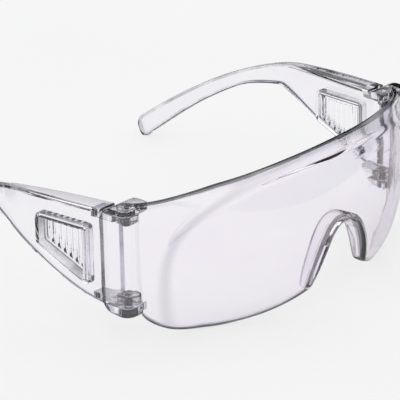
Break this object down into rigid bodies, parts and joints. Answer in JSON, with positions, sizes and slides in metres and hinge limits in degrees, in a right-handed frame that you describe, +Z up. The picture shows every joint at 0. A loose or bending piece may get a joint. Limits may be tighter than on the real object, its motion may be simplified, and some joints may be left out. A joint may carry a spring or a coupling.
{
  "type": "safety goggles",
  "caption": "Clear one-piece wraparound safety eyewear with a moulded brow guard, nose arch and folding vented side-shield temples on pinned hinges.",
  "frame": {"origin": "centre of the bounding box's bottom, at table level, on the plane of symmetry", "axes": "+Z up from the table the spectacles stand on, +X towards the wearer's left, -Y is the way the lens faces, +Y towards the ear tips"},
  "size_m": [0.1638, 0.171, 0.0573],
  "materials": {
    "clear_shield": "gloss, clear moulded polycarbonate with a faint cool tint",
    "clear_temple_right": "gloss, clear moulded polycarbonate",
    "clear_temple_left": "gloss, clear moulded polycarbonate",
    "pin_steel": "plated steel, lightly brushed"
  },
  "bodies": {
    "front": {"front_shield": "clear_shield", "hinge_pin_upper_right": "pin_steel", "hinge_pin_lower_right": "pin_steel", "hinge_pin_upper_left": "pin_steel", "hinge_pin_lower_left": "pin_steel"},
    "right_arm": {"right_temple": "clear_temple_right"},
    "left_arm": {"left_temple": "clear_temple_left"}
  },
  "joints": [
    {"name": "right_temple_fold", "type": "hinge", "parent": "front", "child": "right_arm", "pos_m": [-0.073, -0.0446, 0.03015], "axis": [0, -0.0087, -1], "range_deg": [0, 90]},
    {"name": "left_temple_fold", "type": "hinge", "parent": "front", "child": "left_arm", "pos_m": [0.073, -0.0446, 0.03015], "axis": [0, 0.0087, 1], "range_deg": [0, 83]}
  ]
}
